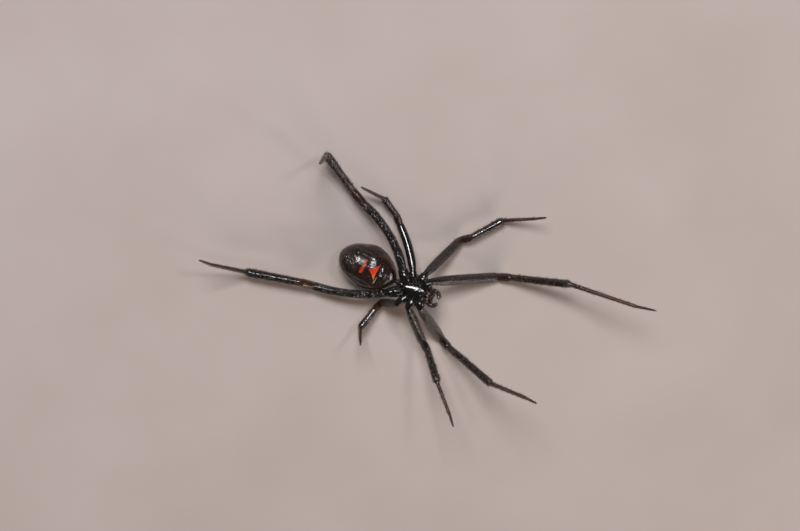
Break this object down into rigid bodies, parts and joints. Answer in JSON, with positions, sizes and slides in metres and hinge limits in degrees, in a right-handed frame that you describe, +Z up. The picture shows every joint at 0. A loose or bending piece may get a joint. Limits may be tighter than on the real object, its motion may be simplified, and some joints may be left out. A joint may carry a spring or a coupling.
{
  "type": "black widow spider",
  "caption": "Still life-size model of a slim female black widow spider, belly up with its long legs bent upwards and a split red hourglass on the abdomen.",
  "frame": {"origin": "on the floor under the middle of the spider's bounding box, legs included", "axes": "+Z up and out of the belly, since the spider lies on its back; +X towards the head and along the longest extent; +Y towards the spider's right side"},
  "size_m": [0.0402, 0.0204, 0.0141],
  "materials": {
    "cuticle": "glossy black cuticle",
    "leg_black": "glossy black with fine bristles",
    "foot_brown": "satin red-brown, black at the tips",
    "palp_brown": "satin dark brown",
    "mark_red": "glossy orange-red"
  },
  "bodies": {
    "root": {"cephalothorax": "cuticle", "chelicera_right": "cuticle", "chelicera_left": "cuticle", "palp_right": "palp_brown", "palp_left": "palp_brown", "pedicel": "cuticle", "abdomen": "cuticle", "hourglass_front": "mark_red", "hourglass_rear": "mark_red", "spinnerets": "cuticle", "leg_right_1_femur": "leg_black", "leg_right_1_tibia": "leg_black", "leg_right_1_foot": "foot_brown", "leg_right_2_femur": "leg_black", "leg_right_2_tibia": "leg_black", "leg_right_2_foot": "foot_brown", "leg_right_3_femur": "leg_black", "leg_right_3_tibia": "leg_black", "leg_right_3_foot": "foot_brown", "leg_right_4_femur": "leg_black", "leg_right_4_tibia": "leg_black", "leg_right_4_foot": "foot_brown", "leg_left_1_femur": "leg_black", "leg_left_1_tibia": "leg_black", "leg_left_1_foot": "foot_brown", "leg_left_2_femur": "leg_black", "leg_left_2_tibia": "leg_black", "leg_left_2_foot": "foot_brown", "leg_left_3_femur": "leg_black", "leg_left_3_tibia": "leg_black", "leg_left_3_foot": "foot_brown", "leg_left_4_femur": "leg_black", "leg_left_4_tibia": "leg_black", "leg_left_4_foot": "foot_brown"}
  },
  "joints": []
}
